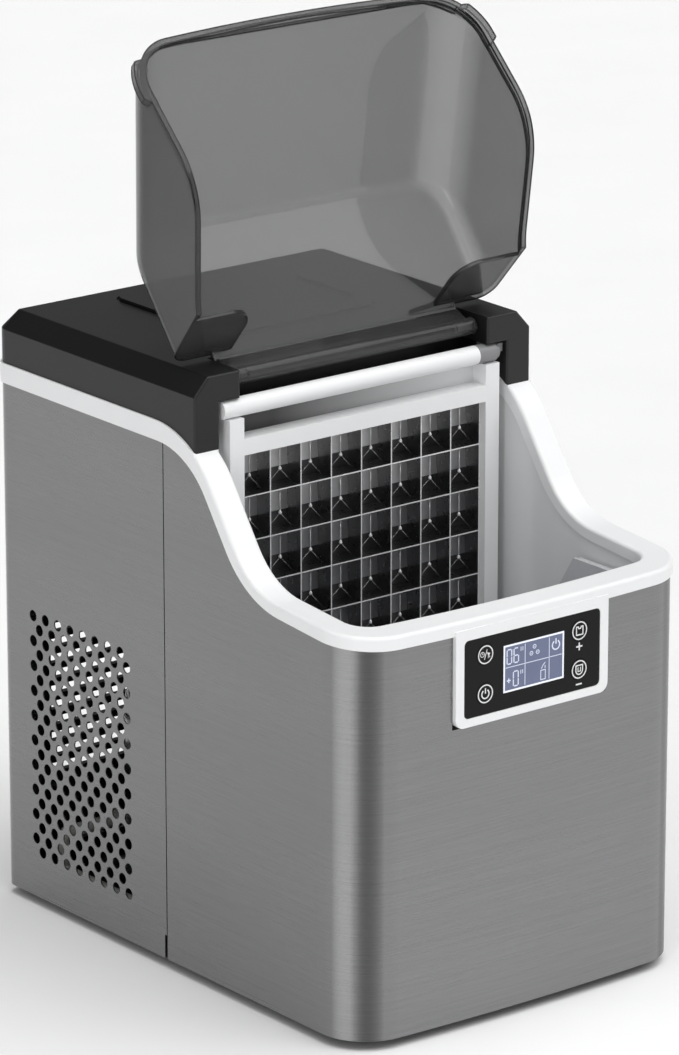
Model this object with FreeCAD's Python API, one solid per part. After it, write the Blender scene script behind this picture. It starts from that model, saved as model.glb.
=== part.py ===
import FreeCAD, Part
import math
import os

# Countertop clear-ice maker. Millimetres, +Z up, the front faces -Y.
# The origin is the centre of the footprint at the surface the feet stand on.
# The smoked lid is modelled shut and then swung open about its hinge.

V = FreeCAD.Vector

# ---- overall body ----
HALF_WIDTH = 125.0
Y_FRONT = -175.0
Y_REAR = 175.0
FRONT_BOW = 4.6
R_FRONT = 32.0
R_REAR = 10.0
Z_STEEL = 6.0
T_STEEL = 0.8
Y_SEAM = 8.0

# ---- side profile of the steel edge and of the collar's top, as (y, z) corners ----
STEEL_EDGE = [(200.0, 326.0), (-17.0, 326.0), (-71.3, 249.6), (-200.0, 239.0)]
STEEL_EDGE_R = [56.0, 66.0]
RIM_TOP = [(200.0, 338.0), (-18.5, 338.0), (-76.2, 256.8), (-200.0, 247.4)]
RIM_TOP_R = [66.0, 52.0]
RIM_INSET = 17.0
RIM_ROUND = 2.2

# ---- black top cover ----
Z_COVER = 338.0
Z_BEVEL = 359.0
Z_TOP = 370.0
BEVEL_IN = 10.0
Y_HORN = -23.0
Y_RECESS = 9.0
HORN_LEG_X = 107.0
HORN_TOP_X = 92.0
Z_HORN_STEP = 353.0

# ---- lid ----
HINGE_Y = -10.0
HINGE_Z = 362.5
LID_OPEN_DEG = 140.0
LID_WALL = 2.2
BARREL_R = 5.2

# ---- control panel ----
PANEL_Y = -176.6
GLASS_HALF_X = 50.3
GLASS_Z0 = 190.7
GLASS_Z1 = 237.1
BUTTON_X = 35.0
BUTTON_Z_LOW = 203.0
BUTTON_Z_HIGH = 226.5
BUTTON_R = 6.35

# ---- evaporator ----
CELL_W = 22.5
CELL_H = 27.0
COLUMNS = 8
ROWS = 5
GRID_TOP = 318.5
GRID_FRONT = -19.0
GRID_BACK = -5.5

# ---- vents ----
VENT_COLUMNS = 16
VENT_ROWS = 10
VENT_DY = 6.3
VENT_DZ = 15.8
VENT_R = 3.5
VENT_Y0 = 46.0
VENT_Z0 = 36.0

os.makedirs("parts", exist_ok=True)


def save(name, shape):
    shape.exportStep("parts/" + name + ".step")


def box(x0, x1, y0, y1, z0, z1):
    return Part.makeBox(x1 - x0, y1 - y0, z1 - z0, V(x0, y0, z0))


def cyl(radius, start, end):
    axis = V(*end) - V(*start)
    return Part.makeCylinder(radius, axis.Length, V(*start), axis)


def fuse_all(shapes):
    result = shapes[0]
    if len(shapes) > 1:
        result = shapes[0].multiFuse(shapes[1:])
    return result.removeSplitter()


def rounded_box(x0, x1, y0, y1, z0, z1, radius, axis):
    """Box with the four edges that run along one axis rounded."""
    solid = box(x0, x1, y0, y1, z0, z1)
    picked = []
    for edge in solid.Edges:
        d = edge.Vertexes[1].Point - edge.Vertexes[0].Point
        if abs(getattr(d, axis)) > 0.9 * d.Length:
            picked.append(edge)
    return solid.makeFillet(radius, picked)


def plan_wire(offset, z):
    """Footprint outline grown by an offset: bowed front, rounded corners."""
    w = HALF_WIDTH + offset
    yf = Y_FRONT - offset
    yr = Y_REAR + offset
    rr = max(R_REAR + offset, 1.0)
    rf = max(R_FRONT + offset, 4.0)
    bow_r = (w * w + FRONT_BOW * FRONT_BOW) / (2.0 * FRONT_BOW)
    yc = yf + bow_r
    fx = w - rf
    fy = yc - math.sqrt((bow_r - rf) ** 2 - fx * fx)
    length = math.hypot(fx, fy - yc)
    ux = fx / length
    uy = (fy - yc) / length
    tx = ux * bow_r
    ty = yc + uy * bow_r
    half = math.atan2(uy, ux) / 2.0
    mx = fx + rf * math.cos(half)
    my = fy + rf * math.sin(half)
    k = math.sqrt(0.5)
    rx = w - rr
    ry = yr - rr
    edges = [
        Part.Arc(V(-tx, ty, z), V(0, yf, z), V(tx, ty, z)).toShape(),
        Part.Arc(V(tx, ty, z), V(mx, my, z), V(w, fy, z)).toShape(),
        Part.makeLine(V(w, fy, z), V(w, ry, z)),
        Part.Arc(V(w, ry, z), V(rx + rr * k, ry + rr * k, z), V(rx, yr, z)).toShape(),
        Part.makeLine(V(rx, yr, z), V(-rx, yr, z)),
        Part.Arc(V(-rx, yr, z), V(-rx - rr * k, ry + rr * k, z), V(-w, ry, z)).toShape(),
        Part.makeLine(V(-w, ry, z), V(-w, fy, z)),
        Part.Arc(V(-w, fy, z), V(-mx, my, z), V(-tx, ty, z)).toShape(),
    ]
    return Part.Wire(edges)


def plan(offset, z0, z1):
    return Part.Face(plan_wire(offset, z0)).extrude(V(0, 0, z1 - z0))


def plan_ring(outer, inner, z0, z1):
    return plan(outer, z0, z1).cut(plan(inner, z0 - 1.0, z1 + 1.0))


def round_path(points, radii):
    """Edges of an open path through points, with each inner corner rounded."""
    edges = []
    last = points[0]
    for i in range(1, len(points) - 1):
        corner = points[i]
        a = (points[i - 1] - corner).normalize()
        b = (points[i + 1] - corner).normalize()
        angle = a.getAngle(b)
        reach = radii[i - 1] / math.tan(angle / 2.0)
        start = corner + a * reach
        end = corner + b * reach
        bisector = (a + b).normalize()
        centre = corner + bisector * (radii[i - 1] / math.sin(angle / 2.0))
        middle = centre - bisector * radii[i - 1]
        edges.append(Part.makeLine(last, start))
        edges.append(Part.Arc(start, middle, end).toShape())
        last = end
    edges.append(Part.makeLine(last, points[-1]))
    return edges


def under(profile, radii, drop=0.0, floor=-20.0):
    """Everything below a side profile, lowered by a drop, across the full width."""
    x = -150.0
    pts = [V(x, y, z - drop) for (y, z) in profile]
    edges = round_path(pts, radii)
    edges.append(Part.makeLine(pts[-1], V(x, profile[-1][0], floor)))
    edges.append(Part.makeLine(V(x, profile[-1][0], floor), V(x, profile[0][0], floor)))
    edges.append(Part.makeLine(V(x, profile[0][0], floor), pts[0]))
    return Part.Face(Part.Wire(edges)).extrude(V(300, 0, 0))


def tube(points, bend, radius):
    """Round bar or pipe that follows a path with rounded bends."""
    pts = [V(*p) for p in points]
    wire = Part.Wire(round_path(pts, [bend] * (len(pts) - 2)))
    circle = Part.Wire(Part.makeCircle(radius, pts[0], pts[1] - pts[0]))
    return wire.makePipeShell([circle], True, True)


def prism_yz(points, x0, x1):
    pts = [V(x0, y, z) for (y, z) in points]
    return Part.Face(Part.makePolygon(pts + [pts[0]])).extrude(V(x1 - x0, 0, 0))


def prism_xz(points, y0, y1):
    pts = [V(x, y0, z) for (x, z) in points]
    return Part.Face(Part.makePolygon(pts + [pts[0]])).extrude(V(0, y1 - y0, 0))


steel_zone = under(STEEL_EDGE, STEEL_EDGE_R)
rim_zone = under(RIM_TOP, RIM_TOP_R)

# ---- steel wraps: one sheet round the front half, one round the rear half ----
shell = plan_ring(0.0, -T_STEEL, Z_STEEL, 345.0).common(steel_zone)
front_wrap = shell.common(box(-140, 140, -200, Y_SEAM - 0.4, 0, 400))
front_wrap = front_wrap.cut(box(-57.2, 57.2, -190, -160, 184.9, 300))
rear_wrap = shell.common(box(-140, 140, Y_SEAM + 0.4, 200, 0, 400))
rear_wrap = rear_wrap.cut(box(-140, 140, Y_SEAM, Y_SEAM + 2.2, 0, Z_STEEL + 15.0))
holes = []
for column in range(VENT_COLUMNS):
    y = VENT_Y0 + VENT_DY * column
    lift = (column % 2) * VENT_DZ / 2.0
    for row in range(VENT_ROWS):
        z = VENT_Z0 + lift + VENT_DZ * row
        holes.append(Part.makeCylinder(VENT_R, 4.0, V(-127, y, z), V(1, 0, 0)))
        holes.append(Part.makeCylinder(VENT_R, 4.0, V(123, y, z), V(1, 0, 0)))
rear_wrap = rear_wrap.cut(Part.makeCompound(holes))
rear_wrap = rear_wrap.cut(rounded_box(-96, 96, 168, 180, 24, 236, 6, "y"))
save("front_wrap", front_wrap)
save("rear_wrap", rear_wrap)

# ---- base pan with an upstand inside the steel ----
base = plan(-1.2, Z_STEEL, Z_STEEL + 3.0)
base = base.fuse(plan_ring(-1.2, -3.4, Z_STEEL + 2.0, 21.0)).removeSplitter()
FOOT_X = 96.0
FOOT_Y = 138.0
for sx in (-1, 1):
    for sy in (-1, 1):
        base = base.cut(cyl(3.5, (sx * FOOT_X, sy * FOOT_Y, 0), (sx * FOOT_X, sy * FOOT_Y, 12)))
save("base_pan", base)

# ---- rubber feet, each pushed through the base pan ----
foot_names = {(-1, -1): "foot_front_left", (1, -1): "foot_front_right",
              (-1, 1): "foot_rear_left", (1, 1): "foot_rear_right"}
for (sx, sy), foot_name in foot_names.items():
    x = sx * FOOT_X
    y = sy * FOOT_Y
    pad = Part.makeCone(11.0, 12.5, 6.0, V(x, y, 0), V(0, 0, 1))
    stem = cyl(3.4, (x, y, 5.0), (x, y, 9.6))
    head = cyl(5.0, (x, y, 9.0), (x, y, 11.6))
    save(foot_name, fuse_all([pad, stem, head]))

# ---- white collar: S-shaped rim, skirt inside the steel, hanging panel frame ----
def on_rim_top(edge):
    """True for an edge that runs along the rim's top face, not across it."""
    for share in (0.2, 0.5, 0.8):
        first, last = edge.ParameterRange
        point = edge.valueAt(first + (last - first) * share)
        if rim_top_face.distToShape(Part.Vertex(point))[0] > 0.01:
            return False
    a = edge.Vertexes[0].Point
    b = edge.Vertexes[-1].Point
    across = abs(a.y - b.y) < 0.01 and abs(a.x - b.x) < RIM_INSET + 4.0
    on_cut = min(a.y, b.y) > Y_HORN - 0.01
    return not across and not on_cut


rim_path = round_path([V(-150, y, z) for (y, z) in RIM_TOP], RIM_TOP_R)
rim_top_face = Part.Wire(rim_path).extrude(V(300, 0, 0))
rim = plan_ring(1.2, -RIM_INSET, 200.0, 345.0).common(rim_zone).cut(steel_zone)
front_rim = rim.common(box(-140, 140, -200, Y_HORN, 0, 400))
front_rim = front_rim.makeFillet(RIM_ROUND, [e for e in front_rim.Edges if on_rim_top(e)])
collar = front_rim.fuse(rim.common(box(-140, 140, Y_HORN, 200, 0, 400)))
skirt = plan_ring(-1.2, -3.4, 200.0, 345.0).common(steel_zone)
skirt = skirt.cut(under(STEEL_EDGE, STEEL_EDGE_R, 9.0))
frame_plate = rounded_box(-56.7, 56.7, PANEL_Y, -171.6, 185.4, 260.0, 6.0, "y")
frame_plate = frame_plate.common(rim_zone).common(box(-80, 80, -190, -150, 180, 244))
collar = fuse_all([collar, skirt, frame_plate])
collar = collar.cut(rounded_box(-50.6, 50.6, -180, -174.6, 190.4, 237.4, 3.2, "y"))
collar = collar.cut(box(-48.6, 48.6, -175.5, -165.0, 192.4, 235.4))
for sx in (-1, 1):
    for z in (195.0, 233.0):
        boss = cyl(2.4, (sx * 51.4, -172.0, z), (sx * 51.4, -169.6, z))
        collar = collar.fuse(boss)
        collar = collar.cut(cyl(1.0, (sx * 51.4, -174.0, z), (sx * 51.4, -169.0, z)))
collar = collar.removeSplitter()
save("collar", collar)

# ---- control panel: glass, display, four buttons, board and screws ----
glass = rounded_box(-GLASS_HALF_X, GLASS_HALF_X, -176.4, -174.6, GLASS_Z0, GLASS_Z1, 3.0, "y")
glass = glass.cut(box(-21.8, 23.8, -180, -170, 200.0, 229.0))
button_spots = {"button_timer": (-BUTTON_X, BUTTON_Z_HIGH), "button_power": (-BUTTON_X, BUTTON_Z_LOW),
                "button_plus": (BUTTON_X, BUTTON_Z_HIGH), "button_minus": (BUTTON_X, BUTTON_Z_LOW)}
for name, (x, z) in button_spots.items():
    glass = glass.cut(cyl(BUTTON_R + 0.2, (x, -180, z), (x, -170, z)))
    cap = cyl(BUTTON_R, (x, -176.6, z), (x, -173.6, z))
    flange = cyl(7.4, (x, -174.0, z), (x, -172.8, z))
    stem = cyl(2.0, (x, -173.0, z), (x, -171.2, z))
    save(name, fuse_all([cap, flange, stem]))
save("panel_glass", glass)
save("display", box(-21.5, 23.5, -176.3, -169.6, 200.3, 228.7))
board = [box(-54, 54, -169.6, -168.0, 191.0, 237.0)]
for name, (x, z) in button_spots.items():
    board.append(box(x - 3, x + 3, -170.7, -169.5, z - 3, z + 3))
board = fuse_all(board)
screws = []
for sx in (-1, 1):
    for z in (195.0, 233.0):
        x = sx * 51.4
        board = board.cut(cyl(1.3, (x, -175, z), (x, -160, z)))
        screws.append(cyl(0.95, (x, -173.0, z), (x, -167.8, z)).fuse(cyl(2.2, (x, -168.0, z), (x, -166.6, z))))
save("panel_board", board)
save("panel_screws", Part.makeCompound(screws))

# ---- bin liner: one moulded tub for the bin, the sump and the ice-making chamber ----
liner = plan(-13.5, 62.0, 340.0).common(box(-140, 140, -200, 33.0, 0, 400))
liner = liner.cut(plan(-16.0, 64.5, 345.0).common(box(-140, 140, -200, 30.5, 0, 400)))
liner = liner.common(steel_zone)
for sx in (-1, 1):
    ledge = box(min(sx * 97, sx * 109.4), max(sx * 97, sx * 109.4), -128, -46, 107.0, 111.8)
    liner = liner.fuse(ledge)
liner = liner.cut(cyl(4.2, (88, 25, 74), (88, 40, 74)))
liner = liner.cut(cyl(4.4, (-70, 25, 305), (-70, 40, 305)))
liner = liner.cut(cyl(4.4, (-40, 25, 197), (-40, 40, 197)))
liner = liner.removeSplitter()
save("bin_liner", liner)

# ---- foam between the liner and the steel ----
foam = plan_ring(-3.9, -13.2, 30.0, 345.0).common(under(STEEL_EDGE, STEEL_EDGE_R, 10.0))
foam = foam.common(box(-140, 140, -200, 4.0, 0, 400))
foam = foam.cut(box(-60, 60, -200, -160, 182, 300))
save("insulation", foam)

# ---- lift-out ice basket ----
cut_line = prism_yz([(-200, 236), (-92, 236), (-60, 186), (0, 186), (0, 100), (-200, 100)], -150, 150)
outer = plan(-21.0, 112.0, 236.0).common(box(-140, 140, -200, -40, 0, 400))
inner = plan(-23.2, 114.4, 240.0).common(box(-140, 140, -200, -42.2, 0, 400))
lip = plan_ring(-18.8, -23.2, 231.0, 236.0).common(box(-140, 140, -200, -94, 0, 400))
basket = fuse_all([outer.cut(inner).common(cut_line), lip])
drains = []
for i in range(9):
    x = -80.0 + 20.0 * i
    for j in range(3):
        y = -140.0 + 32.0 * j
        drains.append(box(x - 3, x + 3, y, y + 24, 108, 118))
basket = basket.cut(Part.makeCompound(drains))
save("ice_basket", basket)

# ---- water tank in the sump, pump, level probe ----
tank = plan(-19.0, 66.0, 100.0).common(box(-140, 140, -200, 28.0, 0, 400))
tank = tank.cut(plan(-21.0, 68.0, 110.0).common(box(-140, 140, -200, 26.0, 0, 400)))
tank = tank.cut(cyl(4.2, (88, 20, 74), (88, 30, 74)))
save("water_tank", tank)
pump = fuse_all([cyl(15.0, (82, -8, 68.2), (82, -8, 92)), cyl(11.0, (82, -8, 91), (82, -8, 99)),
                 cyl(5.0, (82, -8, 98), (82, -8, 111)), cyl(3.6, (82, -8, 106), (101.2, -8, 106))])
save("pump", pump)
save("pump_hose", tube([(101.3, -8, 106), (104.2, -8, 106), (104.2, -8, 346.0)], 2.6, 2.5))
probe = fuse_all([cyl(2.0, (-90, 5, 74), (-90, 5, 118)), box(-97, -83, -1, 11, 116, 124)])
probe = probe.fuse(box(-109, -96, 1, 9, 117, 123)).removeSplitter()
save("level_probe", probe)

# ---- spray tube across the top of the evaporator ----
SPRAY_R = 5.7
spray = cyl(SPRAY_R, (-104, -18.5, 347), (86, -18.5, 347))
spray = spray.cut(cyl(SPRAY_R - 1.2, (-102, -18.5, 347), (90, -18.5, 347)))
for i in range(16):
    x = -84.4 + 11.25 * i
    spray = spray.cut(cyl(0.9, (x, -18.5, 347), (x, -12.0, 340.5)))
save("spray_tube", spray)
cap = fuse_all([cyl(SPRAY_R - 1.25, (80, -18.5, 347), (87, -18.5, 347)),
                cyl(SPRAY_R + 0.05, (86, -18.5, 347), (99.5, -18.5, 347)),
                cyl(4.4, (98, -18.5, 347), (102, -18.5, 347)), box(99, 106.4, -19.6, -4.6, 346.2, 351.4)])
cap = cap.fuse(cyl(2.4, (104.0, -8, 346.1), (104.0, -8, 350))).removeSplitter()
save("spray_cap", cap)

# ---- evaporator: cell grid, coil and moulded frame ----
half_grid = COLUMNS * CELL_W / 2.0
grid_low = GRID_TOP - ROWS * CELL_H
grid = [box(-half_grid, half_grid, GRID_BACK, GRID_BACK + 1.5, grid_low, GRID_TOP)]
for i in range(COLUMNS + 1):
    x = -half_grid + CELL_W * i
    x = min(max(x, -half_grid + 0.4), half_grid - 0.4)
    grid.append(box(x - 0.4, x + 0.4, GRID_FRONT, GRID_BACK + 0.5, grid_low, GRID_TOP))
for j in range(ROWS + 1):
    z = GRID_TOP - CELL_H * j
    z = min(max(z, grid_low + 0.4), GRID_TOP - 0.4)
    grid.append(box(-half_grid, half_grid, GRID_FRONT, GRID_BACK + 0.5, z - 0.4, z + 0.4))
save("evaporator_grid", fuse_all(grid))
coil_points = []
for j in range(5):
    z = GRID_TOP - CELL_H * (j + 0.5)
    side = 1 if j % 2 == 0 else -1
    coil_points.append((-side * 78.0, 0.2, z))
    coil_points.append((side * 78.0, 0.2, z))
coil_points[0] = (-70.0, 0.2, coil_points[0][2])
coil_points.insert(0, (-70.0, 28.0, coil_points[0][2]))
coil_points[-1] = (-40.0, 0.2, coil_points[-1][2])
coil_points.append((-40.0, 28.0, coil_points[-1][2]))
coil = tube(coil_points, 6.0, 4.0)
save("evaporator_coil", coil)
posts = []
for sx in (-1, 1):
    posts.append(box(min(sx * 90.2, sx * 100.5), max(sx * 90.2, sx * 100.5), -24, -3, 176, 341.2))
    posts.append(box(min(sx * 100, sx * 109), max(sx * 100, sx * 109), 2, 5, 200, 320))
    posts.append(box(min(sx * 95, sx * 101), max(sx * 95, sx * 101), -4, 5, 200, 320))
posts.append(box(-91, 91, -24, -4.5, 318.7, 328.6))
posts.append(box(-91, 91, -12, -4.5, 328.0, 341.2))
posts.append(box(-91, 91, -24, -20.5, 176, 182.6))
save("evaporator_frame", fuse_all(posts))

# ---- slotted ramp that turns falling ice into the basket ----
ramp = prism_yz([(26, 168), (26, 164), (-30, 134), (-36, 134), (-36, 138), (-30, 138)], -101.2, 101.2)
slots = []
for i in range(13):
    x = -90.0 + 15.0 * i
    slots.append(box(x - 2.5, x + 2.5, -26, 18, 120, 180))
ramp = ramp.cut(Part.makeCompound(slots))
for sx in (-1, 1):
    ramp = ramp.fuse(box(min(sx * 101, sx * 109), max(sx * 101, sx * 109), 18, 26, 160, 168))
save("ice_ramp", ramp.removeSplitter())

# ---- black top cover with two horns that hold the lid ----
def cover_block(inset, z0, top_drop):
    """Cover outline with a sloped band round its top edge."""
    low = plan(-inset, z0, Z_BEVEL - top_drop)
    rings = []
    for z, o in ((Z_BEVEL - top_drop, -inset), (Z_TOP - top_drop, -inset - BEVEL_IN)):
        rings.append(plan_wire(o, z))
    return low.fuse(Part.makeLoft(rings, True, True)).removeSplitter()


cover = cover_block(0.0, Z_COVER - 20.0, 0.0).common(box(-140, 140, Y_HORN, 200, 0, 400))
cover = cover.cut(rim_zone)
hollow = cover_block(3.0, Z_COVER - 1.0, 3.0)
hollow = hollow.common(box(-140, 140, Y_RECESS + 3.0, 200, 0, 400))
cover = cover.cut(hollow)
cover = cover.cut(box(-HORN_LEG_X, HORN_LEG_X, -30, Y_RECESS, 300, Z_HORN_STEP))
cover = cover.cut(box(-HORN_TOP_X, HORN_TOP_X, -30, Y_RECESS, Z_HORN_STEP - 1, 380))
for sx in (-1, 1):
    pocket = cyl(2.0, (sx * 91, HINGE_Y, HINGE_Z), (sx * 104, HINGE_Y, HINGE_Z))
    cover = cover.cut(pocket)
cover = cover.cut(rounded_box(-58.0, 62.0, 38.0, 152.0, Z_TOP - 1.2, Z_TOP + 5, 12.0, "z"))


def is_cover_edge(edge):
    """True for an edge of the sloped band, or of the horns' front faces above the collar."""
    area = edge.BoundBox
    first, last = edge.ParameterRange
    middle = edge.valueAt((first + last) / 2.0)
    if area.YLength < 0.01 and abs(area.YMin - Y_HORN) < 0.01:
        return area.ZMax > Z_COVER + 2.0
    outside = abs(middle.x) > 104.0 or middle.y > 155.0
    at_band = abs(area.ZMin - Z_BEVEL) < 0.01 or abs(area.ZMin - Z_TOP) < 0.01
    return area.ZLength < 0.01 and outside and at_band


cover = cover.makeFillet(1.5, [e for e in cover.Edges if is_cover_edge(e)])
save("top_cover", cover)
plate = rounded_box(-56.5, 60.5, 39.5, 150.5, Z_TOP - 1.2, Z_TOP + 1.8, 11.0, "z")
plate = plate.fuse(rounded_box(55.0 - 2.0, 55.0 + 2.0, 60, 112, Z_TOP + 1.0, Z_TOP + 4.6, 1.6, "z"))
save("top_plate", plate.removeSplitter())

# ---- lid hinge pins, pressed into the horns ----
for sx, name in ((-1, "hinge_pin_left"), (1, "hinge_pin_right")):
    save(name, cyl(2.0, (sx * 79, HINGE_Y, HINGE_Z), (sx * 104, HINGE_Y, HINGE_Z)))

# ---- smoked lid, built shut ----
LID_SEAT = 0.5
LID_BACK = -24.5
LID_FLANGE_Y = -30.0
LID_CREASE = (-107.0, 349.0)
LID_TOE = (-175.8, 253.5)
LID_CORNER_R = 28.0
LID_TOP_R = 12.0
STRAP_X0 = 76.0
STRAP_X1 = 89.6
GRIP_REACH = 4.6
GRIP_R = 15.0
GRIP_X = 119.0
GRIP_Y = -147.0


def lid_block(t):
    """Outer form of the closed lid, shrunk by a wall thickness."""
    run = LID_TOE[0] - LID_CREASE[0]
    drop = LID_TOE[1] - LID_CREASE[1]
    low_y = LID_CREASE[0] + 1.55 * run + 1.2 * t
    low_z = LID_CREASE[1] + 1.55 * drop - 0.4 * t
    crease_y = LID_CREASE[0] + 0.35 * t
    side = [(0.0, 371.0 - t), (LID_BACK, 368.5 - t), (crease_y, LID_CREASE[1] - t), (low_y, low_z), (0.0, low_z)]
    draft = [(-130.6 + t, 180), (-118.8 + t, 376), (118.8 - t, 376), (130.6 - t, 180)]
    block = prism_yz(side, -150, 150).common(prism_xz(draft, -250, 0))
    corners = []
    for edge in block.Edges:
        a = edge.Vertexes[0].Point
        b = edge.Vertexes[-1].Point
        runs_down = min(a.y, b.y) < -190 and abs(max(a.y, b.y) - crease_y) < 0.01
        if runs_down and a.x * b.x > 0:
            corners.append(edge)
    block = block.makeFillet(LID_CORNER_R - t, corners)
    top_edges = []
    for edge in block.Edges:
        first, last = edge.ParameterRange
        middle = edge.valueAt((first + last) / 2.0)
        slope = (368.5 - LID_CREASE[1]) / (LID_BACK - crease_y)
        plane_z = LID_CREASE[1] - t + (middle.y - crease_y) * slope
        on_top = abs(middle.z - plane_z) < 0.02 and edge.BoundBox.YMax < LID_BACK + 0.5
        if on_top and abs(middle.y - LID_BACK) > 0.1:
            top_edges.append(edge)
    block = block.makeFillet(LID_TOP_R - t, top_edges)
    return block.common(plan(0.8 - t, 180, 400))


outer_block = lid_block(0.0)
inner_block = lid_block(LID_WALL)
bead_block = lid_block(3.6)
seat = under(RIM_TOP, RIM_TOP_R, -LID_SEAT)
bead_band = under(RIM_TOP, RIM_TOP_R, -LID_SEAT - 4.6)
lid = outer_block.cut(inner_block)
bead = outer_block.cut(bead_block).common(bead_band)
lid = lid.fuse(bead).common(box(-140, 140, -200, LID_BACK, 0, 400))
for sx in (-1, 1):
    lid = lid.cut(box(min(sx * 90, sx * 140), max(sx * 90, sx * 140), LID_FLANGE_Y, 0, 200, 400))
    # back wall in front of the horn, with its lower inner corner rounded up to the strap
    wall = box(min(sx * STRAP_X0, sx * 140), max(sx * STRAP_X0, sx * 140), LID_FLANGE_Y - 2.4, LID_FLANGE_Y,
               327.0, 380)
    corner_edges = []
    for edge in wall.Edges:
        middle = edge.CenterOfMass
        if abs(abs(middle.x) - STRAP_X0) < 0.01 and abs(middle.z - 327.0) < 0.01:
            corner_edges.append(edge)
    wall = wall.makeFillet(17.0, corner_edges)
    lid = lid.fuse(wall.common(outer_block))
    # curved strap from that wall to the hinge barrel
    strap = prism_yz([(-32.4, 343.0), (-32.2, 347.4), (-31.3, 349.6), (-29.6, 351.0), (-27.2, 351.8),
                      (-12.0, 356.4), (-9.0, 358.0), (-9.0, 361.0), (-12.0, 359.4), (-27.6, 354.4),
                      (-30.0, 353.8), (-30.0, 343.0)],
                     min(sx * STRAP_X0, sx * STRAP_X1), max(sx * STRAP_X0, sx * STRAP_X1))
    lid = lid.fuse(strap)
lid = lid.cut(seat)
spine = prism_yz([(-24.6, 368.4), (-24.6, 364.8), (-13.0, 361.5), (-8.0, 367.2)], -89.6, 89.6)
barrel = cyl(BARREL_R, (-90.5, HINGE_Y, HINGE_Z), (90.5, HINGE_Y, HINGE_Z))
lid = lid.fuse(spine).fuse(barrel)
for sx in (-1, 1):
    # finger grip: a flat tab that follows the rim bead round the side of the front corner
    grip = plan(GRIP_REACH, 240, 262).cut(plan(-3.0, 239, 263)).common(bead_band).cut(seat)
    grip = grip.common(cyl(GRIP_R, (sx * GRIP_X, GRIP_Y, 240), (sx * GRIP_X, GRIP_Y, 262)))
    lid = lid.fuse(grip)
    lid = lid.cut(cyl(2.05, (sx * 78, HINGE_Y, HINGE_Z), (sx * 95, HINGE_Y, HINGE_Z)))
lid = lid.removeSplitter()
lid.rotate(V(0, HINGE_Y, HINGE_Z), V(1, 0, 0), -LID_OPEN_DEG)
save("lid", lid)

# ---- rear service panel with louvres and a recess for the cord and the drain ----
Y_PANEL = 176.6
panel = rounded_box(-98, 98, 172.2, 174.1, 22, 238, 7, "y")
panel = panel.fuse(rounded_box(-95.6, 95.6, 173.0, Y_PANEL, 24.4, 235.6, 5.6, "y"))
panel = panel.fuse(box(-84, 94, 158, 174, 32, 57))
panel = panel.cut(box(-82.2, 92.2, 159.8, 180, 28.4, 55.2))
panel = panel.fuse(box(-84, 94, 158, 176, 26.6, 28.6))
louvres = []
for i in range(14):
    z = 70.0 + 10.0 * i
    for x0 in (-90.0, 8.0):
        louvres.append(box(x0, x0 + 82.0, 170, 180, z, z + 5.4))
panel = panel.cut(Part.makeCompound(louvres))
panel = panel.cut(cyl(7.9, (70, 150, 42), (70, 165, 42)))
panel = panel.cut(cyl(8.9, (-60, 150, 42), (-60, 165, 42)))
rear_screws = []
for x in (-89.0, 0.0, 89.0):
    for z in (62.0, 229.0):
        panel = panel.cut(cyl(1.6, (x, 165, z), (x, 180, z)))
        panel = panel.cut(cyl(3.5, (x, 174.9, z), (x, 180, z)))
        shank = cyl(1.6, (x, 170, z), (x, 175.2, z))
        rear_screws.append(shank.fuse(cyl(3.2, (x, 174.9, z), (x, 176.4, z))).removeSplitter())
save("rear_panel", panel.removeSplitter())
save("rear_screws", Part.makeCompound(rear_screws))
gland = fuse_all([cyl(7.9, (70, 150, 42), (70, 172, 42)), cyl(10.5, (70, 159.8, 42), (70, 168, 42)),
                  cyl(10.5, (70, 151, 42), (70, 158, 42))])
gland = gland.cut(cyl(3.6, (70, 140, 42), (70, 190, 42)))
save("cord_gland", gland)
spout = fuse_all([cyl(8.9, (-60, 148.2, 42), (-60, 168, 42)), cyl(12.0, (-60, 152, 42), (-60, 158, 42))])
spout = spout.cut(cyl(5.6, (-60, 140, 42), (-60, 190, 42)))
save("drain_spout", spout)
plug = fuse_all([cyl(5.55, (-60, 158, 42), (-60, 169, 42)), cyl(11.5, (-60, 168.3, 42), (-60, 176.2, 42))])
plug = plug.cut(cyl(8.0, (-60, 172.6, 42), (-60, 190, 42)))
plug = plug.fuse(box(-61.5, -58.5, 172, 176.2, 33.6, 50.4)).removeSplitter()
save("drain_plug", plug)
drain = tube([(88.0, 27.0, 74.0), (88.0, 44.0, 74.0), (88.0, 44.0, 18.0), (-104.0, 44.0, 18.0),
              (-104.0, 142.0, 18.0), (-104.0, 142.0, 42.0), (-60.0, 142.0, 42.0), (-60.0, 148.0, 42.0)], 4.0, 3.9)
save("drain_hose", drain)

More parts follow.
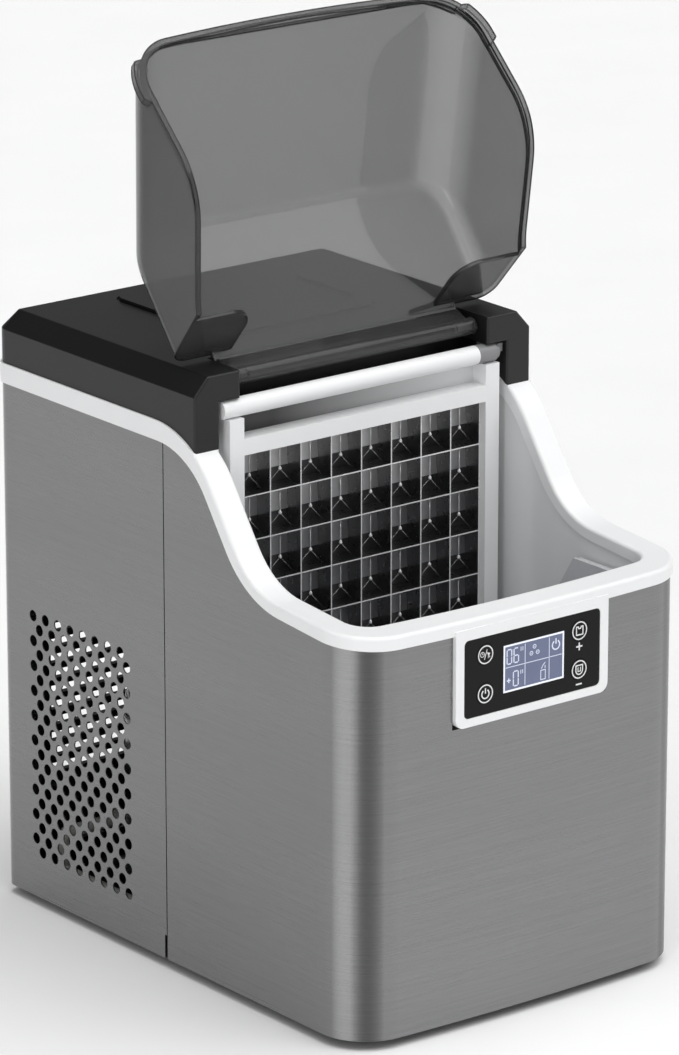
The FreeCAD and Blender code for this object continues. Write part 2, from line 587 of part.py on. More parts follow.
# ---- compressor on its grommets ----
CX = -30.0
CY = 104.0
can = cyl(44.0, (CX, CY, 24), (CX, CY, 142))
rims = [e for e in can.Edges if e.Curve.TypeId == "Part::GeomCircle"]
can = can.makeFillet(20.0, rims)
plate_c = rounded_box(CX - 52, CX + 52, CY - 36, CY + 36, 16.0, 18.5, 8.0, "z")
can = can.fuse(box(CX - 30, CX + 30, CY - 26, CY + 26, 18, 32)).fuse(plate_c)
port = [cyl(4.0, (CX - 20, CY - 44 + 8, 110), (CX - 20, CY - 54, 110)),
        cyl(4.0, (CX + 22, CY - 30, 70), (CX + 22, CY - 54, 70))]
can = can.fuse(port[0]).fuse(port[1]).removeSplitter()
grommets = []
for sx in (-1, 1):
    for sy in (-1, 1):
        gx = CX + sx * 45.0
        gy = CY + sy * 29.0
        can = can.cut(cyl(3.2, (gx, gy, 10), (gx, gy, 30)))
        pad = cyl(7.0, (gx, gy, 9.0), (gx, gy, 16.0)).fuse(cyl(3.1, (gx, gy, 15), (gx, gy, 19.5)))
        pad = pad.fuse(cyl(5.5, (gx, gy, 18.5), (gx, gy, 21.5)))
        grommets.append(pad.cut(cyl(1.5, (gx, gy, 8), (gx, gy, 25))))
save("compressor", can)
save("compressor_grommets", Part.makeCompound(grommets))
save("terminal_cover", rounded_box(CX + 43.2, CX + 60, CY - 16, CY + 16, 88, 126, 4, "x").cut(
    cyl(44.05, (CX, CY, 20), (CX, CY, 150))))

# ---- condenser, fan shroud, motor and fan ----
core = []
for i in range(17):
    y = 50.0 + 5.6 * i
    core.append(box(98, 116, y, y + 0.8, 36, 164))
for j in range(6):
    core.append(cyl(3.4, (107, 46, 46 + 21.6 * j), (107, 144, 46 + 21.6 * j)))
core.append(box(98, 116, 46, 47.2, 34, 166))
core.append(box(98, 116, 142.8, 144, 34, 166))
core.append(box(98, 116, 46, 144, 34, 35.2))
core.append(box(98, 116, 46, 144, 164.8, 166))
save("condenser", fuse_all(core))
FAN_Y = 95.0
FAN_Z = 100.0
shroud = box(95.0, 97.8, 44, 146, 9.0, 168)
shroud = shroud.fuse(cyl(47.0, (80, FAN_Y, FAN_Z), (97.8, FAN_Y, FAN_Z)))
shroud = shroud.cut(box(90, 100, 130, 150, 8, 12.4))
shroud = shroud.cut(cyl(44.5, (70, FAN_Y, FAN_Z), (110, FAN_Y, FAN_Z)))
struts = []
for i in range(3):
    strut = box(62, 66, FAN_Y - 3, FAN_Y + 3, FAN_Z, FAN_Z + 46.0)
    strut = strut.fuse(box(62, 84, FAN_Y - 3, FAN_Y + 3, FAN_Z + 44.4, FAN_Z + 47.0))
    strut.rotate(V(0, FAN_Y, FAN_Z), V(1, 0, 0), 60.0 + 120.0 * i)
    struts.append(strut)
spider = fuse_all(struts + [cyl(19.0, (62, FAN_Y, FAN_Z), (66, FAN_Y, FAN_Z))])
spider = spider.cut(cyl(16.1, (50, FAN_Y, FAN_Z), (90, FAN_Y, FAN_Z)))
shroud = shroud.fuse(spider).removeSplitter()
save("fan_shroud", shroud)
motor = fuse_all([cyl(16.05, (46, FAN_Y, FAN_Z), (74, FAN_Y, FAN_Z)), cyl(2.0, (73, FAN_Y, FAN_Z), (88, FAN_Y, FAN_Z))])
save("fan_motor", motor)
blades = [cyl(15.0, (76, FAN_Y, FAN_Z), (92, FAN_Y, FAN_Z))]
for i in range(5):
    blade = box(83.2, 84.8, FAN_Y - 12, FAN_Y + 12, FAN_Z + 12, FAN_Z + 41.0)
    blade.rotate(V(84, FAN_Y, FAN_Z), V(0, 0, 1), 28.0)
    blade.rotate(V(0, FAN_Y, FAN_Z), V(1, 0, 0), 72.0 * i)
    blades.append(blade)
fan = fuse_all(blades).cut(cyl(2.05, (70, FAN_Y, FAN_Z), (89, FAN_Y, FAN_Z)))
fan = fan.common(cyl(41.5, (60, FAN_Y, FAN_Z), (100, FAN_Y, FAN_Z)))
save("fan_blades", fan)

# ---- refrigerant circuit ----
DRIER_X = 40.0
DRIER_Y = 162.0
drier = fuse_all([cyl(8.0, (DRIER_X, DRIER_Y, 190), (DRIER_X, DRIER_Y, 250)),
                  cyl(3.0, (DRIER_X, DRIER_Y, 182), (DRIER_X, DRIER_Y, 258))])
save("filter_drier", drier)
save("discharge_line", tube([(CX + 22, CY - 54.2, 70), (CX + 22, 40.5, 70), (30, 40.5, 70), (30, 40.5, 154),
                             (107, 40.5, 154), (107, 45.8, 154)], 4.0, 2.6))
save("liquid_line", tube([(107, 144.2, 46), (107, DRIER_Y, 46), (107, DRIER_Y, 174),
                          (DRIER_X, DRIER_Y, 174), (DRIER_X, DRIER_Y, 181.9)], 5.0, 2.6))
save("capillary", tube([(DRIER_X, DRIER_Y, 258.2), (DRIER_X, DRIER_Y, 305), (-70, DRIER_Y, 305),
                        (-70, 28.4, 305)], 8.0, 1.4))
valve = fuse_all([cyl(9.0, (20, 60, 262), (20, 60, 288)), box(8, 32, 50, 70, 248, 262.5)])
save("hot_gas_valve", valve)
hot_low = tube([(20, 60, 247.9), (20, 60, 140), (30, 60, 140), (30, 43.3, 140)], 4.0, 2.6)
hot_high = tube([(7.9, 60, 255), (-60, 60, 255), (-60, 60, 305), (-68.4, 60, 305)], 5.0, 2.6)
save("hot_gas_lines", Part.makeCompound([hot_low, hot_high]))
low_row = GRID_TOP - CELL_H * 4.5
save("suction_line", tube([(-40, 28.2, low_row), (-40, 42, low_row), (CX - 20, 42, low_row),
                           (CX - 20, 42, 110), (CX - 20, CY - 54.2, 110)], 3.8, 3.4))

# ---- control electronics on a tray above the compressor ----
tray = rounded_box(-112, -4, 64, 150, 196, 232, 5, "z")
tray = tray.cut(box(-110, -6, 66, 148, 198, 240))
tray = tray.fuse(box(-121, -111, 80, 130, 200, 204))
save("control_tray", tray.removeSplitter())
parts_on_board = [box(-106, -10, 70, 144, 202, 203.6), box(-100, -76, 76, 104, 203.5, 222),
                  box(-60, -44, 76, 92, 203.5, 218), box(-40, -24, 76, 92, 203.5, 218),
                  cyl(6.0, (-90, 126, 203.5), (-90, 126, 226)), box(-60, -20, 110, 136, 203.5, 212)]
for x in (-102, -14):
    for y in (74, 140):
        parts_on_board.append(cyl(2.5, (x, y, 198), (x, y, 202.5)))
save("control_board", fuse_all(parts_on_board))
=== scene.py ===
import math

import bmesh
import bpy
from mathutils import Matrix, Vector


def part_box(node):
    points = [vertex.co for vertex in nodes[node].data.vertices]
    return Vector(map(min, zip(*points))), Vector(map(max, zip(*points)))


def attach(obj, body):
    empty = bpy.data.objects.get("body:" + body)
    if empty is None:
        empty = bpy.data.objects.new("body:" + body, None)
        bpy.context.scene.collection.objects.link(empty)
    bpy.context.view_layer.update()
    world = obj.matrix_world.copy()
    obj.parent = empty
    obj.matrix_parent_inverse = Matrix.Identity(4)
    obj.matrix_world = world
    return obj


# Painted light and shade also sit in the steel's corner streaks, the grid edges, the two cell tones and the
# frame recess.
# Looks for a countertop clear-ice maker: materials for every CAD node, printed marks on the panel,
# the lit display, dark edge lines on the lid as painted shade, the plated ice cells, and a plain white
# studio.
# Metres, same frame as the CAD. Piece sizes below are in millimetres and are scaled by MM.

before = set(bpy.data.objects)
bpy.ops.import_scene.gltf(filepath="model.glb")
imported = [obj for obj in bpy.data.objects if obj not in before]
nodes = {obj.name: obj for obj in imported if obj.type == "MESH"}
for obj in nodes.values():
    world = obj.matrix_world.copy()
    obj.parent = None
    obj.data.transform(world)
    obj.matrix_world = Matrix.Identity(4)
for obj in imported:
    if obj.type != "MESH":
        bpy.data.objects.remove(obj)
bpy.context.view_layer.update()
MM = 0.001
# socket numbers of the Mix node's two colours and its colour result
MIX_A, MIX_B, MIX_RESULT = 6, 7, 2


# ---------------------------------------------------------------- materials

def shader_tree(name):
    """New material with its node tree, its Principled shader and object coordinates."""
    material = bpy.data.materials.new(name)
    material.use_nodes = True
    tree = material.node_tree
    principled = tree.nodes["Principled BSDF"]
    coords = tree.nodes.new("ShaderNodeTexCoord")
    return material, tree, principled, coords.outputs["Object"]


def noise(tree, coords, scale, detail=3.0, rough=0.55):
    """Noise over object coordinates, with its own scale along each axis."""
    mapping = tree.nodes.new("ShaderNodeMapping")
    mapping.inputs["Scale"].default_value = scale
    tree.links.new(coords, mapping.inputs["Vector"])
    texture = tree.nodes.new("ShaderNodeTexNoise")
    texture.inputs["Scale"].default_value = 1.0
    texture.inputs["Detail"].default_value = detail
    texture.inputs["Roughness"].default_value = rough
    tree.links.new(mapping.outputs["Vector"], texture.inputs["Vector"])
    return texture.outputs["Fac"]


def spread(tree, value, low, high, start=0.3, stop=0.7):
    """Maps a noise value to the range low..high."""
    remap = tree.nodes.new("ShaderNodeMapRange")
    remap.inputs["From Min"].default_value = start
    remap.inputs["From Max"].default_value = stop
    remap.inputs["To Min"].default_value = low
    remap.inputs["To Max"].default_value = high
    tree.links.new(value, remap.inputs["Value"])
    return remap.outputs["Result"]


def blend_colours(tree, factor, first, second):
    """Colour that goes from first to second with a factor.

    Each of the two is a fixed colour or another node's output.
    """
    mix = tree.nodes.new("ShaderNodeMix")
    mix.data_type = "RGBA"
    for socket, colour in ((MIX_A, first), (MIX_B, second)):
        if isinstance(colour, tuple):
            mix.inputs[socket].default_value = (*colour, 1.0)
        else:
            tree.links.new(colour, mix.inputs[socket])
    tree.links.new(factor, mix.inputs[0])
    return mix.outputs[MIX_RESULT]


def multiply(tree, first, second):
    """Product of two values."""
    product = tree.nodes.new("ShaderNodeMath")
    product.operation = "MULTIPLY"
    tree.links.new(first, product.inputs[0])
    tree.links.new(second, product.inputs[1])
    return product.outputs[0]


def add_bump(tree, principled, height, strength, distance):
    """Fine relief from a height value; distance is in metres."""
    bump = tree.nodes.new("ShaderNodeBump")
    bump.inputs["Strength"].default_value = strength
    bump.inputs["Distance"].default_value = distance
    tree.links.new(height, bump.inputs["Height"])
    tree.links.new(bump.outputs["Normal"], principled.inputs["Normal"])


def shade(colour, factor):
    """Colour made darker or lighter by a factor."""
    return tuple(min(1.0, c * factor) for c in colour)


def surface(name, colour, rough, metallic=0.0, grain=(900, 900, 900), tint=0.08, rough_spread=0.08,
            bump=0.15, depth=0.05, cloud=(9, 9, 9), specular=0.5, coat=0.0, anisotropic=0.0,
            emission=0.0, detail=3.0):
    """Procedural surface: fine grain for bump and roughness, a broad cloud for colour."""
    material, tree, principled, coords = shader_tree(name)
    fine = noise(tree, coords, grain, detail)
    broad = noise(tree, coords, cloud, 2.0)
    darker = shade(colour, 1.0 - tint)
    lighter = shade(colour, 1.0 + tint)
    tone = blend_colours(tree, spread(tree, broad, 0.0, 1.0), darker, lighter)
    tree.links.new(tone, principled.inputs["Base Color"])
    grained = spread(tree, fine, rough - rough_spread, rough + rough_spread)
    tree.links.new(grained, principled.inputs["Roughness"])
    principled.inputs["Metallic"].default_value = metallic
    principled.inputs["Specular IOR Level"].default_value = specular
    principled.inputs["Coat Weight"].default_value = coat
    principled.inputs["Coat Roughness"].default_value = 0.08
    principled.inputs["Anisotropic"].default_value = anisotropic
    if emission > 0.0:
        principled.inputs["Emission Color"].default_value = (*colour, 1.0)
        principled.inputs["Emission Strength"].default_value = emission
    add_bump(tree, principled, fine, bump, depth * MM)
    return material


# painted reflections on the bent corners, a light and a dark upright streak set in the base colour by
# surface direction: angle of the surface from the front and half width in degrees, gain
PAINTED_LIGHT_REFLECTION = (63.0, 13.0, 1.5)
PAINTED_DARK_REFLECTION = (37.0, 18.0, 0.42)


def brushed_steel(name, colour, rough):
    """Horizontally brushed sheet with long fine streaks, and a painted light and a painted dark reflection
    streak upright on each bent corner.
    """
    material, tree, principled, coords = shader_tree(name)
    streak = noise(tree, coords, (14, 14, 2600), 4.0, 0.6)
    hair = noise(tree, coords, (60, 60, 6500), 2.0, 0.5)
    broad = noise(tree, coords, (3, 3, 14), 2.0)
    both = tree.nodes.new("ShaderNodeMath")
    both.operation = "MULTIPLY_ADD"
    both.inputs[1].default_value = 0.45
    tree.links.new(hair, both.inputs[0])
    tree.links.new(spread(tree, streak, 0.0, 0.55), both.inputs[2])
    tone = blend_colours(tree, both.outputs[0], shade(colour, 0.80), shade(colour, 1.14))
    # painted reflections: the bent corners carry a light and a dark upright streak in the base colour,
    # chosen by surface direction
    outward = tree.nodes.new("ShaderNodeVectorMath")
    outward.operation = "ABSOLUTE"
    tree.links.new(coords.node.outputs["Normal"], outward.inputs[0])
    painted_reflection_gains = []
    for bend, reach, amount in (PAINTED_LIGHT_REFLECTION, PAINTED_DARK_REFLECTION):
        dot = tree.nodes.new("ShaderNodeVectorMath")
        dot.operation = "DOT_PRODUCT"
        dot.inputs[1].default_value = (math.sin(math.radians(bend)), math.cos(math.radians(bend)), 0.0)
        tree.links.new(outward.outputs[0], dot.inputs[0])
        painted_reflection_gains.append(spread(tree, dot.outputs["Value"], 1.0, amount, math.cos(math.radians(reach)), 1.0))
    scaled = tree.nodes.new("ShaderNodeVectorMath")
    scaled.operation = "SCALE"
    tree.links.new(tone, scaled.inputs[0])
    tree.links.new(multiply(tree, *painted_reflection_gains), scaled.inputs["Scale"])
    tree.links.new(scaled.outputs[0], principled.inputs["Base Color"])
    rough_sum = tree.nodes.new("ShaderNodeMath")
    rough_sum.operation = "ADD"
    tree.links.new(spread(tree, streak, rough - 0.05, rough + 0.05), rough_sum.inputs[0])
    tree.links.new(spread(tree, broad, -0.02, 0.02), rough_sum.inputs[1])
    tree.links.new(rough_sum.outputs[0], principled.inputs["Roughness"])
    principled.inputs["Metallic"].default_value = 1.0
    # highlights stretch up and down, across the brushing
    around = tree.nodes.new("ShaderNodeTangent")
    around.direction_type = "RADIAL"
    around.axis = "Z"
    tree.links.new(around.outputs["Tangent"], principled.inputs["Tangent"])
    principled.inputs["Anisotropic"].default_value = 0.8
    principled.inputs["Anisotropic Rotation"].default_value = 0.25
    add_bump(tree, principled, both.outputs[0], 0.22, 0.03 * MM)
    return material


def smoked_plastic(name, tint, body, clear_face, clear_edge):
    """Tinted clear plastic: dark gloss over see-through, denser where it is seen edge on."""
    material, tree, principled, coords = shader_tree(name)
    fine = noise(tree, coords, (260, 260, 260), 2.0)
    broad = noise(tree, coords, (7, 7, 7), 2.0)
    tone = blend_colours(tree, spread(tree, broad, 0.0, 1.0), shade(body, 0.9), shade(body, 1.1))
    tree.links.new(tone, principled.inputs["Base Color"])
    tree.links.new(spread(tree, fine, 0.03, 0.07), principled.inputs["Roughness"])
    add_bump(tree, principled, broad, 0.05, 0.4 * MM)
    see = tree.nodes.new("ShaderNodeBsdfTransparent")
    see.inputs["Color"].default_value = (*tint, 1.0)
    facing = tree.nodes.new("ShaderNodeLayerWeight")
    facing.inputs["Blend"].default_value = 0.5
    solid = spread(tree, facing.outputs["Facing"], 1.0 - clear_face, 1.0 - clear_edge, 0.0, 1.0)
    mix = tree.nodes.new("ShaderNodeMixShader")
    tree.links.new(solid, mix.inputs[0])
    tree.links.new(see.outputs[0], mix.inputs[1])
    tree.links.new(principled.outputs[0], mix.inputs[2])
    tree.links.new(mix.outputs[0], tree.nodes["Material Output"].inputs["Surface"])
    return material


def painted_recess_shade(name, colour, dark, y_deep, z_low, z_high, x_dark, x_light):
    """White moulding with painted shade in the recess behind the spray tube, darker towards one side."""
    material, tree, principled, coords = shader_tree(name)
    fine = noise(tree, coords, (1400, 1400, 1400))
    broad = noise(tree, coords, (9, 9, 9), 2.0)
    split = tree.nodes.new("ShaderNodeSeparateXYZ")
    tree.links.new(coords, split.inputs[0])
    deep = spread(tree, split.outputs["Y"], 0.0, 1.0, y_deep - 0.5 * MM, y_deep - 0.1 * MM)
    above = spread(tree, split.outputs["Z"], 0.0, 1.0, z_low - 1.0 * MM, z_low + 1.0 * MM)
    below = spread(tree, split.outputs["Z"], 1.0, 0.0, z_high - 1.0 * MM, z_high + 1.0 * MM)
    sideways = spread(tree, split.outputs["X"], 1.0, 0.0, x_dark, x_light)
    # painted shade: the recess is darkened in the base colour by place, deepest behind the tube and towards
    # -x
    painted_shade = deep
    for factor in (above, below, sideways):
        painted_shade = multiply(tree, painted_shade, factor)
    base = blend_colours(tree, spread(tree, broad, 0.0, 1.0), shade(colour, 0.988), shade(colour, 1.012))
    tone = blend_colours(tree, painted_shade, base, dark)
    tree.links.new(tone, principled.inputs["Base Color"])
    tree.links.new(spread(tree, fine, 0.29, 0.39), principled.inputs["Roughness"])
    add_bump(tree, principled, fine, 0.05, 0.03 * MM)
    return material


STEEL = brushed_steel("brushed_steel", (0.262, 0.262, 0.264), 0.30)
WHITE = surface("white_moulding", (0.86, 0.865, 0.87), 0.34, grain=(1400, 1400, 1400), tint=0.012,
                rough_spread=0.05, bump=0.05, depth=0.03, specular=0.5)
# white frame moulding with painted shade in the recess behind the spray tube
FRAME_WHITE_PAINTED_SHADE = painted_recess_shade("frame_moulding_painted_shade", (0.86, 0.865, 0.87), (0.035, 0.035, 0.036),
                            y_deep=-12.0 * MM, z_low=322.0 * MM, z_high=343.0 * MM,
                            x_dark=-60.0 * MM, x_light=105.0 * MM)
LINER = surface("liner_moulding", (0.80, 0.805, 0.81), 0.18, grain=(600, 600, 600), tint=0.02,
                rough_spread=0.05, bump=0.06, depth=0.05, coat=0.3)
CLEAR_GREY = surface("basket_moulding", (0.60, 0.61, 0.63), 0.2, grain=(500, 500, 500), tint=0.03,
                     bump=0.06, coat=0.3)
BLACK = surface("black_moulding", (0.008, 0.008, 0.008), 0.40, grain=(2200, 2200, 2200), tint=0.12,
                rough_spread=0.06, bump=0.2, depth=0.05, specular=0.42)
GLOSS_BLACK = surface("panel_black", (0.006, 0.006, 0.006), 0.14, grain=(300, 300, 300), tint=0.1,
                      rough_spread=0.03, bump=0.02, depth=0.02, specular=0.16)
SMOKE = smoked_plastic("smoked_lid", (0.97, 0.97, 0.97), (0.05, 0.05, 0.051), 0.54, 0.08)
# dark wires along the lid's sharp edges: painted shade for the lines refraction draws there
EDGE_PAINTED_SHADE = surface("smoked_edge_painted_shade", (0.012, 0.012, 0.012), 0.12, grain=(800, 800, 800), tint=0.1,
                     rough_spread=0.04, bump=0.03, specular=0.5)
RUBBER = surface("rubber", (0.018, 0.018, 0.018), 0.72, grain=(1600, 1600, 1600), tint=0.15, bump=0.3)
ZINC = surface("zinc_plate", (0.55, 0.55, 0.53), 0.34, 1.0, grain=(700, 700, 700), tint=0.12)
def plating_with_painted_light(name, edge, inside, rough):
    """Plated grid with painted light and shade by surface direction: a painted highlight on the rolled
    front edges, painted shade on the plating inside the cells.
    """
    material, tree, principled, coords = shader_tree(name)
    fine = noise(tree, coords, (240, 240, 240))
    broad = noise(tree, coords, (30, 30, 30), 2.0)
    outward = tree.nodes.new("ShaderNodeSeparateXYZ")
    tree.links.new(coords.node.outputs["Normal"], outward.inputs[0])
    # painted highlight: faces turned to the front take the light edge colour and less metal; the rest keeps
    # the painted dark inside tone
    front = spread(tree, outward.outputs["Y"], 1.0, 0.0, -0.9, -0.5)
    inside_painted_shade = blend_colours(tree, spread(tree, broad, 0.0, 1.0), shade(inside, 0.85), shade(inside, 1.15))
    tone = blend_colours(tree, front, inside_painted_shade, edge)
    tree.links.new(tone, principled.inputs["Base Color"])
    tree.links.new(spread(tree, front, 1.0, 0.25, 0.0, 1.0), principled.inputs["Metallic"])
    tree.links.new(spread(tree, fine, rough - 0.05, rough + 0.05), principled.inputs["Roughness"])
    add_bump(tree, principled, fine, 0.1, 0.1 * MM)
    return material


GRID_PLATING = plating_with_painted_light("plated_grid_painted_light_and_shade", (0.80, 0.80, 0.80), (0.22, 0.22, 0.222), 0.3)
NEEDLE = surface("cell_needles", (0.80, 0.80, 0.80), 0.16, 0.3, grain=(240, 240, 240), tint=0.05,
                 rough_spread=0.04, bump=0.05, depth=0.05, coat=0.6)
# the two faces of each cell are one plating in two tones: the upper face a lit tone (painted light), the
# lower face a shaded tone (painted shade)
CELL_UPPER_PAINTED_LIGHT = surface("cell_face_upper_painted_light", (0.54, 0.54, 0.545), 0.42, 1.0, grain=(500, 500, 500), tint=0.08,
                     rough_spread=0.04, bump=0.03, depth=0.03, cloud=(40, 40, 40))
CELL_LOWER_PAINTED_SHADE = surface("cell_face_lower_painted_shade", (0.17, 0.17, 0.172), 0.34, 1.0, grain=(500, 500, 500), tint=0.1,
                     rough_spread=0.04, bump=0.03, depth=0.03, cloud=(40, 40, 40))
CAP_GREY = surface("spray_cap", (0.23, 0.23, 0.235), 0.36, grain=(1200, 1200, 1200), tint=0.06)
COPPER = surface("copper_tube", (0.72, 0.36, 0.22), 0.26, 1.0, grain=(300, 300, 300), tint=0.18,
                 cloud=(26, 26, 26), rough_spread=0.1)
BRASS = surface("brass_fitting", (0.66, 0.50, 0.22), 0.3, 1.0, grain=(500, 500, 500), tint=0.1)
ALUMINIUM = surface("fin_aluminium", (0.66, 0.67, 0.68), 0.36, 1.0, grain=(200, 200, 1400), tint=0.08)
PAINT = surface("compressor_paint", (0.012, 0.012, 0.013), 0.28, grain=(900, 900, 900), tint=0.12, coat=0.3)
FOAM = surface("foam", (0.72, 0.68, 0.55), 0.85, grain=(420, 420, 420), tint=0.1, bump=0.6, depth=0.6)
HOSE = surface("silicone_hose", (0.66, 0.66, 0.62), 0.35, grain=(500, 500, 500), tint=0.05)
BOARD = surface("circuit_board", (0.02, 0.13, 0.06), 0.42, grain=(1200, 300, 1200), tint=0.18,
                cloud=(260, 260, 260), bump=0.25)
LCD = surface("display_field", (0.105, 0.122, 0.20), 0.18, grain=(1500, 1500, 1500), tint=0.05,
              rough_spread=0.04, bump=0.03, cloud=(60, 60, 60), emission=0.34)
LCD_MARK = surface("display_marks", (0.55, 0.58, 0.70), 0.3, grain=(1500, 1500, 1500), tint=0.03,
                   bump=0.02, cloud=(90, 90, 90), emission=0.35)
LCD_EDGE = surface("display_border", (0.80, 0.82, 0.88), 0.3, grain=(1500, 1500, 1500), tint=0.02,
                   bump=0.02, emission=0.25)
PRINT = surface("panel_print", (0.70, 0.70, 0.71), 0.4, grain=(2500, 2500, 2500), tint=0.03, bump=0.05,
                emission=0.1)

looks = {
    STEEL: ["front_wrap", "rear_wrap"],
    WHITE: ["collar", "spray_tube", "level_probe"],
    FRAME_WHITE_PAINTED_SHADE: ["evaporator_frame"],
    LINER: ["bin_liner", "ice_ramp", "water_tank"],
    CLEAR_GREY: ["ice_basket"],
    BLACK: ["top_cover", "top_plate", "rear_panel", "base_pan", "fan_shroud", "fan_blades",
            "control_tray", "drain_spout", "terminal_cover"],
    GLOSS_BLACK: ["panel_glass", "button_timer", "button_power", "button_plus", "button_minus"],
    SMOKE: ["lid"],
    RUBBER: ["foot_front_left", "foot_front_right", "foot_rear_left", "foot_rear_right", "cord_gland",
             "drain_plug", "compressor_grommets"],
    ZINC: ["rear_screws", "panel_screws", "hinge_pin_left", "hinge_pin_right", "fan_motor"],
    GRID_PLATING: ["evaporator_grid"],
    CAP_GREY: ["spray_cap", "pump"],
    COPPER: ["evaporator_coil", "filter_drier", "discharge_line", "liquid_line", "capillary",
             "hot_gas_lines", "suction_line"],
    BRASS: ["hot_gas_valve"],
    ALUMINIUM: ["condenser"],
    PAINT: ["compressor"],
    FOAM: ["insulation"],
    HOSE: ["pump_hose", "drain_hose"],
    BOARD: ["panel_board", "control_board"],
    LCD: ["display"],
}
for material, names in looks.items():
    for node_name in names:
        mesh = nodes[node_name].data
        if len(mesh.materials) == 0:
            mesh.materials.append(material)
        for i in range(len(mesh.materials)):
            mesh.materials[i] = material


# ---------------------------------------------------------------- thin printed and moulded marks

def mesh_piece(name, bm, material, body):
    """Turns a bmesh into a piece that rides on a body."""
    bmesh.ops.recalc_face_normals(bm, faces=bm.faces)
    mesh = bpy.data.meshes.new(name)
    bm.to_mesh(mesh)
    bm.free()
    mesh.materials.append(material)
    piece = bpy.data.objects.new(name, mesh)
    bpy.context.scene.collection.objects.link(piece)
    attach(piece, body)
    return piece


def stroke(bm, points, width, front, back, closed=False):
    """Flat bar of even width along (x, z) points in millimetres, mitred at its corners."""
    count = len(points)
    pts = [Vector((p[0], p[1])) for p in points]
    rows = []
    for i in range(count):
        before = pts[(i - 1) % count] if closed or i > 0 else None
        after = pts[(i + 1) % count] if closed or i < count - 1 else None
        normals = []
        if before is not None:
            d = (pts[i] - before).normalized()
            normals.append(Vector((-d.y, d.x)))
        if after is not None:
            d = (after - pts[i]).normalized()
            normals.append(Vector((-d.y, d.x)))
        n = sum(normals, Vector((0.0, 0.0))).normalized()
        reach = width / 2.0 / max(0.4, n.dot(normals[0]))
        row = []
        for side, y in ((1, front), (1, back), (-1, back), (-1, front)):
            p = pts[i] + n * (side * reach)
            row.append(bm.verts.new((p.x * MM, y * MM, p.y * MM)))
        rows.append(row)
    last = count if closed else count - 1
    for i in range(last):
        a = rows[i]
        b = rows[(i + 1) % count]
        for k in range(4):
            bm.faces.new((a[k], a[(k + 1) % 4], b[(k + 1) % 4], b[k]))
    if not closed:
        bm.faces.new(rows[0])
        bm.faces.new(rows[-1][::-1])


def rod(bm, start, end, radius, sides=8):
    """Straight round wire between two points in millimetres."""
    a = Vector(start) * MM
    b = Vector(end) * MM
    axis = (b - a).normalized()
    side = axis.orthogonal().normalized()
    other = axis.cross(side)
    rows = []
    for centre in (a, b):
        row = []
        for k in range(sides):
            t = 2 * math.pi * k / sides
            row.append(bm.verts.new(centre + (side * math.cos(t) + other * math.sin(t)) * radius * MM))
        rows.append(row)
    for k in range(sides):
        n = (k + 1) % sides
        bm.faces.new((rows[0][k], rows[0][n], rows[1][n], rows[1][k]))
    bm.faces.new(rows[0][::-1])
    bm.faces.new(rows[1])


def arc(cx, cz, radius, start, stop, steps=36):
    """Points on a circle between two angles in degrees, measured from +x towards +z."""
    points = []
    for i in range(steps + 1):
        a = math.radians(start + (stop - start) * i / steps)
        points.append((cx + radius * math.cos(a), cz + radius * math.sin(a)))
    return points


def ring(bm, cx, cz, radius, width, front, back):
    """Flat closed ring."""
    stroke(bm, arc(cx, cz, radius, 0, 360, 48)[:-1], width, front, back, closed=True)


GLASS_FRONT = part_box("panel_glass")[0].y / MM
CAP_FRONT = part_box("button_timer")[0].y / MM
LCD_LOW, LCD_HIGH = [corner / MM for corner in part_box("display")]
PRINT_THICK = 0.06


def button_centre(node_name):
    """Middle of a button, (x, z) in millimetres."""
    low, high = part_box(node_name)
    return ((low.x + high.x) / 2 / MM, (low.z + high.z) / 2 / MM)


def glyph_timer(bm, x, z, f, b):
    """Clock face and spray, parted by a slanted bar."""
    ring(bm, x - 1.9, z + 0.3, 1.15, 0.32, f, b)
    stroke(bm, [(x - 1.9, z + 1.0), (x - 1.9, z + 0.3), (x - 1.35, z + 0.3)], 0.28, f, b)
    stroke(bm, [(x - 0.75, z - 2.3), (x + 0.85, z + 2.4)], 0.4, f, b)
    nozzle = [(x + 1.2, z + 0.6), (x + 2.3, z + 0.2), (x + 1.7, z - 0.6)]
    stroke(bm, nozzle, 0.5, f, b, closed=True)
    stroke(bm, [(x + 1.6, z - 1.0), (x + 1.45, z - 1.9)], 0.34, f, b)
    stroke(bm, [(x + 2.3, z - 0.9), (x + 2.35, z - 1.7)], 0.34, f, b)


def glyph_power(bm, x, z, f, b):
    """Open ring with an upright bar."""
    stroke(bm, arc(x, z - 0.1, 1.95, 125, 415, 30), 0.6, f, b)
    stroke(bm, [(x, z + 0.1), (x, z + 2.5)], 0.6, f, b)


def glyph_cube(bm, x, z, f, b, open_top):
    """Small ice cube outline: notched on top, or round below with a hollow drawn inside."""
    s = 2.0
    top = [(x + s, z + s), (x - s, z + s)]
    if open_top:
        notch = [(x + 0.9, z + s), (x + 0.55, z + 1.1), (x - 0.55, z + 1.1), (x - 0.9, z + s)]
        outline = [(x - s, z - s), (x + s, z - s), top[0]] + notch + [top[1]]
        stroke(bm, outline, 0.6, f, b, closed=True)
    else:
        stroke(bm, arc(x, z - 0.35, s, 180, 360, 16) + top, 0.6, f, b, closed=True)
        hollow = [(x - 0.75, z + 1.1), (x - 0.75, z - 0.9), (x + 0.75, z - 0.9), (x + 0.75, z + 1.1)]
        stroke(bm, hollow, 0.45, f, b)


def glyph_plus(bm, x, z, f, b):
    glyph_cube(bm, x, z, f, b, True)


def glyph_minus(bm, x, z, f, b):
    glyph_cube(bm, x, z, f, b, False)


RING_RADIUS = 5.2
RING_WIDTH = 0.75
